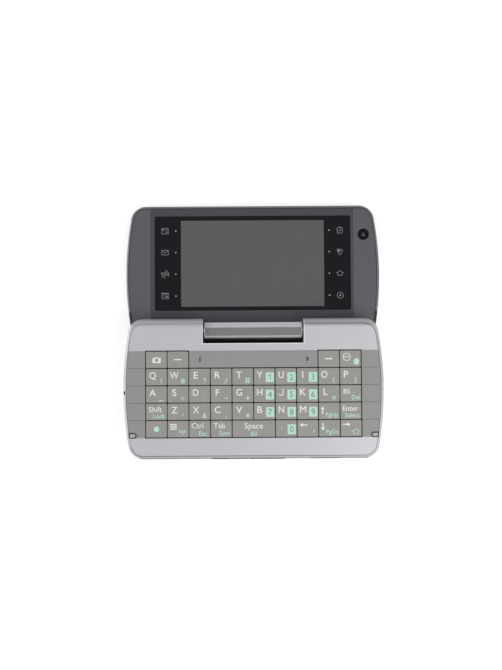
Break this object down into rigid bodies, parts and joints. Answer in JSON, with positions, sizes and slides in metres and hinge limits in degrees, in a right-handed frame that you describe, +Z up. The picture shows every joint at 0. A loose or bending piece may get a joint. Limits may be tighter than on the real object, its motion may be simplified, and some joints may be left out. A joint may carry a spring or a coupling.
{
  "type": "keyboard clamshell mobile phone",
  "caption": "Landscape clamshell mobile phone with a hinged screen lid opened flat, a letter keyboard of moving keys in the base, a sliding battery cover and an edge rocker key.",
  "frame": {"origin": "on the surface that the phone lies on, straight under the middle of the hinge axis", "axes": "+X along the hinge towards the lid camera, +Y from the keyboard base to the open lid, +Z up"},
  "size_m": [0.1166, 0.1156, 0.0165],
  "materials": {
    "case": "satin silver paint on moulded plastic",
    "silver_cover": "satin silver paint",
    "key_grey": "fine matte grey",
    "mat_rubber": "matte",
    "board": "coated circuit board with metal shields",
    "battery": "matte wrap on a metal can",
    "bumper_rubber": "matte",
    "black_cap": "satin black",
    "bezel": "fine matte dark grey",
    "screen_glass": "clear, dark behind",
    "screen": "switched off panel",
    "hinge_metal": "satin silver",
    "pin_steel": "ground",
    "legend_white": "white print",
    "legend_mint": "pale green print",
    "icon_grey": "grey print",
    "lens_glass": "coated lens",
    "door_rubber": "matte dark grey"
  },
  "bodies": {
    "base": {"bottom_case": "case", "top_cover": "silver_cover", "key_panel": "key_grey", "keypad_sheet": "mat_rubber", "main_board": "board", "battery": "battery", "lid_bumpers": "bumper_rubber"},
    "lid": {"lid_cover": "silver_cover", "end_cap": "black_cap", "lid_bezel": "bezel", "display_glass": "screen_glass", "display_module": "screen", "lid_camera": "black_cap", "hinge_knuckle": "hinge_metal", "hinge_pins": "pin_steel"},
    "battery_cover": {"battery_cover": "case"},
    "volume_rocker": {"volume_rocker": "case"},
    "key_camera": {"key_camera": "key_grey"},
    "key_soft_left": {"key_soft_left": "key_grey"},
    "key_soft_right": {"key_soft_right": "key_grey"},
    "key_end": {"key_end": "key_grey"},
    "key_q": {"key_q": "key_grey"},
    "key_w": {"key_w": "key_grey"},
    "key_e": {"key_e": "key_grey"},
    "key_r": {"key_r": "key_grey"},
    "key_t": {"key_t": "key_grey"},
    "key_y": {"key_y": "key_grey"},
    "key_u": {"key_u": "key_grey"},
    "key_i": {"key_i": "key_grey"},
    "key_o": {"key_o": "key_grey"},
    "key_p": {"key_p": "key_grey"},
    "key_a": {"key_a": "key_grey"},
    "key_s": {"key_s": "key_grey"},
    "key_d": {"key_d": "key_grey"},
    "key_f": {"key_f": "key_grey"},
    "key_g": {"key_g": "key_grey"},
    "key_h": {"key_h": "key_grey"},
    "key_j": {"key_j": "key_grey"},
    "key_k": {"key_k": "key_grey"},
    "key_l": {"key_l": "key_grey"},
    "key_backspace": {"key_backspace": "key_grey"},
    "key_shift": {"key_shift": "key_grey"},
    "key_z": {"key_z": "key_grey"},
    "key_x": {"key_x": "key_grey"},
    "key_c": {"key_c": "key_grey"},
    "key_v": {"key_v": "key_grey"},
    "key_b": {"key_b": "key_grey"},
    "key_n": {"key_n": "key_grey"},
    "key_m": {"key_m": "key_grey"},
    "key_up": {"key_up": "key_grey"},
    "key_enter": {"key_enter": "key_grey"},
    "key_dot": {"key_dot": "key_grey"},
    "key_menu": {"key_menu": "key_grey"},
    "key_ctrl": {"key_ctrl": "key_grey"},
    "key_tab": {"key_tab": "key_grey"},
    "key_space": {"key_space": "key_grey"},
    "key_zero": {"key_zero": "key_grey"},
    "key_left": {"key_left": "key_grey"},
    "key_down": {"key_down": "key_grey"},
    "key_right": {"key_right": "key_grey"}
  },
  "joints": [
    {"name": "lid_hinge", "type": "hinge", "parent": "base", "child": "lid", "pos_m": [0, 0, 0.011], "axis": [1, 0, 0], "range_deg": [0, 180]},
    {"name": "battery_cover_slide", "type": "slide", "parent": "base", "child": "battery_cover", "axis": [-1, 0, 0], "range_m": [0, 0.08]},
    {"name": "edge_rocker_tilt", "type": "hinge", "parent": "base", "child": "volume_rocker", "pos_m": [-0.00245, -0.05665, 0.0124], "axis": [0, 0, 1], "range_deg": [-0.8, 0.8], "stiffness_Nm_per_rad": 0.5},
    {"name": "press_camera", "type": "slide", "parent": "base", "child": "key_camera", "axis": [0, 0, -1], "range_m": [0, 0.00025], "stiffness_N_per_m": 200},
    {"name": "press_soft_left", "type": "slide", "parent": "base", "child": "key_soft_left", "axis": [0, 0, -1], "range_m": [0, 0.00025], "stiffness_N_per_m": 200},
    {"name": "press_soft_right", "type": "slide", "parent": "base", "child": "key_soft_right", "axis": [0, 0, -1], "range_m": [0, 0.00025], "stiffness_N_per_m": 200},
    {"name": "press_end", "type": "slide", "parent": "base", "child": "key_end", "axis": [0, 0, -1], "range_m": [0, 0.00025], "stiffness_N_per_m": 200},
    {"name": "press_q", "type": "slide", "parent": "base", "child": "key_q", "axis": [0, 0, -1], "range_m": [0, 0.00025], "stiffness_N_per_m": 200},
    {"name": "press_w", "type": "slide", "parent": "base", "child": "key_w", "axis": [0, 0, -1], "range_m": [0, 0.00025], "stiffness_N_per_m": 200},
    {"name": "press_e", "type": "slide", "parent": "base", "child": "key_e", "axis": [0, 0, -1], "range_m": [0, 0.00025], "stiffness_N_per_m": 200},
    {"name": "press_r", "type": "slide", "parent": "base", "child": "key_r", "axis": [0, 0, -1], "range_m": [0, 0.00025], "stiffness_N_per_m": 200},
    {"name": "press_t", "type": "slide", "parent": "base", "child": "key_t", "axis": [0, 0, -1], "range_m": [0, 0.00025], "stiffness_N_per_m": 200},
    {"name": "press_y", "type": "slide", "parent": "base", "child": "key_y", "axis": [0, 0, -1], "range_m": [0, 0.00025], "stiffness_N_per_m": 200},
    {"name": "press_u", "type": "slide", "parent": "base", "child": "key_u", "axis": [0, 0, -1], "range_m": [0, 0.00025], "stiffness_N_per_m": 200},
    {"name": "press_i", "type": "slide", "parent": "base", "child": "key_i", "axis": [0, 0, -1], "range_m": [0, 0.00025], "stiffness_N_per_m": 200},
    {"name": "press_o", "type": "slide", "parent": "base", "child": "key_o", "axis": [0, 0, -1], "range_m": [0, 0.00025], "stiffness_N_per_m": 200},
    {"name": "press_p", "type": "slide", "parent": "base", "child": "key_p", "axis": [0, 0, -1], "range_m": [0, 0.00025], "stiffness_N_per_m": 200},
    {"name": "press_a", "type": "slide", "parent": "base", "child": "key_a", "axis": [0, 0, -1], "range_m": [0, 0.00025], "stiffness_N_per_m": 200},
    {"name": "press_s", "type": "slide", "parent": "base", "child": "key_s", "axis": [0, 0, -1], "range_m": [0, 0.00025], "stiffness_N_per_m": 200},
    {"name": "press_d", "type": "slide", "parent": "base", "child": "key_d", "axis": [0, 0, -1], "range_m": [0, 0.00025], "stiffness_N_per_m": 200},
    {"name": "press_f", "type": "slide", "parent": "base", "child": "key_f", "axis": [0, 0, -1], "range_m": [0, 0.00025], "stiffness_N_per_m": 200},
    {"name": "press_g", "type": "slide", "parent": "base", "child": "key_g", "axis": [0, 0, -1], "range_m": [0, 0.00025], "stiffness_N_per_m": 200},
    {"name": "press_h", "type": "slide", "parent": "base", "child": "key_h", "axis": [0, 0, -1], "range_m": [0, 0.00025], "stiffness_N_per_m": 200},
    {"name": "press_j", "type": "slide", "parent": "base", "child": "key_j", "axis": [0, 0, -1], "range_m": [0, 0.00025], "stiffness_N_per_m": 200},
    {"name": "press_k", "type": "slide", "parent": "base", "child": "key_k", "axis": [0, 0, -1], "range_m": [0, 0.00025], "stiffness_N_per_m": 200},
    {"name": "press_l", "type": "slide", "parent": "base", "child": "key_l", "axis": [0, 0, -1], "range_m": [0, 0.00025], "stiffness_N_per_m": 200},
    {"name": "press_backspace", "type": "slide", "parent": "base", "child": "key_backspace", "axis": [0, 0, -1], "range_m": [0, 0.00025], "stiffness_N_per_m": 200},
    {"name": "press_shift", "type": "slide", "parent": "base", "child": "key_shift", "axis": [0, 0, -1], "range_m": [0, 0.00025], "stiffness_N_per_m": 200},
    {"name": "press_z", "type": "slide", "parent": "base", "child": "key_z", "axis": [0, 0, -1], "range_m": [0, 0.00025], "stiffness_N_per_m": 200},
    {"name": "press_x", "type": "slide", "parent": "base", "child": "key_x", "axis": [0, 0, -1], "range_m": [0, 0.00025], "stiffness_N_per_m": 200},
    {"name": "press_c", "type": "slide", "parent": "base", "child": "key_c", "axis": [0, 0, -1], "range_m": [0, 0.00025], "stiffness_N_per_m": 200},
    {"name": "press_v", "type": "slide", "parent": "base", "child": "key_v", "axis": [0, 0, -1], "range_m": [0, 0.00025], "stiffness_N_per_m": 200},
    {"name": "press_b", "type": "slide", "parent": "base", "child": "key_b", "axis": [0, 0, -1], "range_m": [0, 0.00025], "stiffness_N_per_m": 200},
    {"name": "press_n", "type": "slide", "parent": "base", "child": "key_n", "axis": [0, 0, -1], "range_m": [0, 0.00025], "stiffness_N_per_m": 200},
    {"name": "press_m", "type": "slide", "parent": "base", "child": "key_m", "axis": [0, 0, -1], "range_m": [0, 0.00025], "stiffness_N_per_m": 200},
    {"name": "press_up", "type": "slide", "parent": "base", "child": "key_up", "axis": [0, 0, -1], "range_m": [0, 0.00025], "stiffness_N_per_m": 200},
    {"name": "press_enter", "type": "slide", "parent": "base", "child": "key_enter", "axis": [0, 0, -1], "range_m": [0, 0.00025], "stiffness_N_per_m": 200},
    {"name": "press_dot", "type": "slide", "parent": "base", "child": "key_dot", "axis": [0, 0, -1], "range_m": [0, 0.00025], "stiffness_N_per_m": 200},
    {"name": "press_menu", "type": "slide", "parent": "base", "child": "key_menu", "axis": [0, 0, -1], "range_m": [0, 0.00025], "stiffness_N_per_m": 200},
    {"name": "press_ctrl", "type": "slide", "parent": "base", "child": "key_ctrl", "axis": [0, 0, -1], "range_m": [0, 0.00025], "stiffness_N_per_m": 200},
    {"name": "press_tab", "type": "slide", "parent": "base", "child": "key_tab", "axis": [0, 0, -1], "range_m": [0, 0.00025], "stiffness_N_per_m": 200},
    {"name": "press_space", "type": "slide", "parent": "base", "child": "key_space", "axis": [0, 0, -1], "range_m": [0, 0.00025], "stiffness_N_per_m": 200},
    {"name": "press_zero", "type": "slide", "parent": "base", "child": "key_zero", "axis": [0, 0, -1], "range_m": [0, 0.00025], "stiffness_N_per_m": 200},
    {"name": "press_left", "type": "slide", "parent": "base", "child": "key_left", "axis": [0, 0, -1], "range_m": [0, 0.00025], "stiffness_N_per_m": 200},
    {"name": "press_down", "type": "slide", "parent": "base", "child": "key_down", "axis": [0, 0, -1], "range_m": [0, 0.00025], "stiffness_N_per_m": 200},
    {"name": "press_right", "type": "slide", "parent": "base", "child": "key_right", "axis": [0, 0, -1], "range_m": [0, 0.00025], "stiffness_N_per_m": 200}
  ]
}
